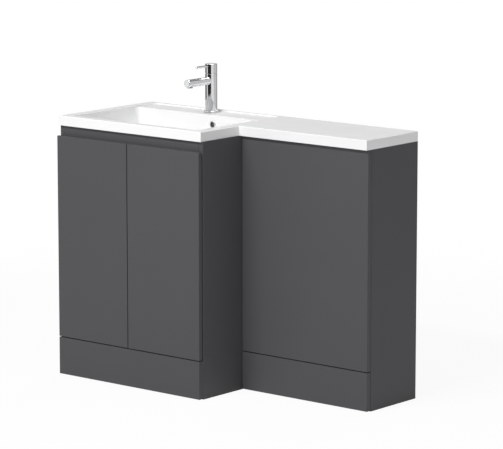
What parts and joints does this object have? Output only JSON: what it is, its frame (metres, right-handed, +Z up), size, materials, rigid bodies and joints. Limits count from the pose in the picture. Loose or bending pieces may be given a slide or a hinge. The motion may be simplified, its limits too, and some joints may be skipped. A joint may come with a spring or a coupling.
{
  "type": "l-shaped combination vanity unit",
  "caption": "L-shaped bathroom unit: a doored vanity base beside a shallower WC base, under a one-piece cast top with a basin, mixer tap and click waste.",
  "frame": {"origin": "on the floor, at the middle of the unit's width and of its depth from the wall to the door fronts", "axes": "+X along the width towards the WC end, -Y towards the user, +Y towards the wall, +Z up"},
  "size_m": [1.1, 0.455, 0.999],
  "materials": {
    "grey_board": "satin grey laminate on chipboard",
    "beech_dowel": "plain",
    "cast_white": "gloss gel coat on cast marble resin",
    "chrome": "polished chrome plate",
    "zinc_steel": "bright zinc plate",
    "nickel_steel": "nickel plate",
    "brass": "machined",
    "black_rubber": "matt",
    "clear_buffer": "soft, translucent",
    "white_plastic": "moulded",
    "grey_plastic": "moulded"
  },
  "bodies": {
    "cabinet": {"vanity_left_side": "grey_board", "vanity_right_side": "grey_board", "vanity_bottom_panel": "grey_board", "vanity_front_rail": "grey_board", "vanity_back_rail_bottom": "grey_board", "vanity_back_rail_top": "grey_board", "wc_left_side": "grey_board", "wc_right_side": "grey_board", "wc_front_rail": "grey_board", "wc_bottom_rail": "grey_board", "wc_back_rail": "grey_board", "vanity_shelf": "grey_board", "vanity_plinth": "grey_board", "wc_plinth": "grey_board", "wc_front_panel": "grey_board", "vanity_dowels": "beech_dowel", "wc_dowels": "beech_dowel", "shelf_pins": "zinc_steel", "front_brackets": "zinc_steel", "front_screws": "zinc_steel", "unit_connectors": "zinc_steel", "tap_fixing_washer": "zinc_steel", "tap_fixing_stud": "zinc_steel", "left_hinge_arms": "nickel_steel", "left_hinge_plates": "nickel_steel", "left_plate_screws": "nickel_steel", "right_hinge_arms": "nickel_steel", "right_hinge_plates": "nickel_steel", "right_plate_screws": "nickel_steel", "basin_top": "cast_white", "overflow_ring": "chrome", "waste_body": "chrome", "tap_base_ring": "chrome", "tap_body": "chrome", "overflow_seal": "black_rubber", "waste_washer": "black_rubber", "tap_base_seal": "black_rubber", "overflow_elbow": "white_plastic", "waste_plug_guide": "grey_plastic", "tap_cartridge": "grey_plastic", "tap_aerator": "grey_plastic", "waste_backnut": "brass", "tap_cartridge_nut": "brass", "tap_fixing_nut": "brass"},
    "left_door_leaf": {"left_door": "grey_board", "left_hinge_cups": "nickel_steel", "left_hinge_pins": "nickel_steel", "left_cup_screws": "nickel_steel", "left_door_buffers": "clear_buffer"},
    "right_door_leaf": {"right_door": "grey_board", "right_hinge_cups": "nickel_steel", "right_hinge_pins": "nickel_steel", "right_cup_screws": "nickel_steel", "right_door_buffers": "clear_buffer"},
    "tap_handle": {"tap_handle_cap": "chrome", "tap_cartridge_stem": "grey_plastic", "tap_lever_axle": "zinc_steel", "tap_grub_screw": "zinc_steel"},
    "tap_pin_lever": {"tap_lever": "chrome"},
    "click_plug": {"waste_plug": "chrome"}
  },
  "joints": [
    {"name": "left_door_swing", "type": "hinge", "parent": "cabinet", "child": "left_door_leaf", "pos_m": [-0.5406, -0.2208, 0.453], "axis": [0, 0, -1], "range_deg": [0, 95]},
    {"name": "right_door_swing", "type": "hinge", "parent": "cabinet", "child": "right_door_leaf", "pos_m": [0.0406, -0.2208, 0.453], "axis": [0, 0, 1], "range_deg": [0, 95]},
    {"name": "tap_temperature_swivel", "type": "hinge", "parent": "cabinet", "child": "tap_handle", "pos_m": [-0.246, 0.1795, 0.983], "axis": [0, 0, 1], "range_deg": [-45, 45]},
    {"name": "tap_lever_lift", "type": "hinge", "parent": "tap_handle", "child": "tap_pin_lever", "pos_m": [-0.246, 0.1655, 0.9917], "axis": [-1, 0, 0], "range_deg": [0, 18]},
    {"name": "plug_click", "type": "slide", "parent": "cabinet", "child": "click_plug", "axis": [0, 0, 1], "range_m": [0, 0.009]}
  ]
}
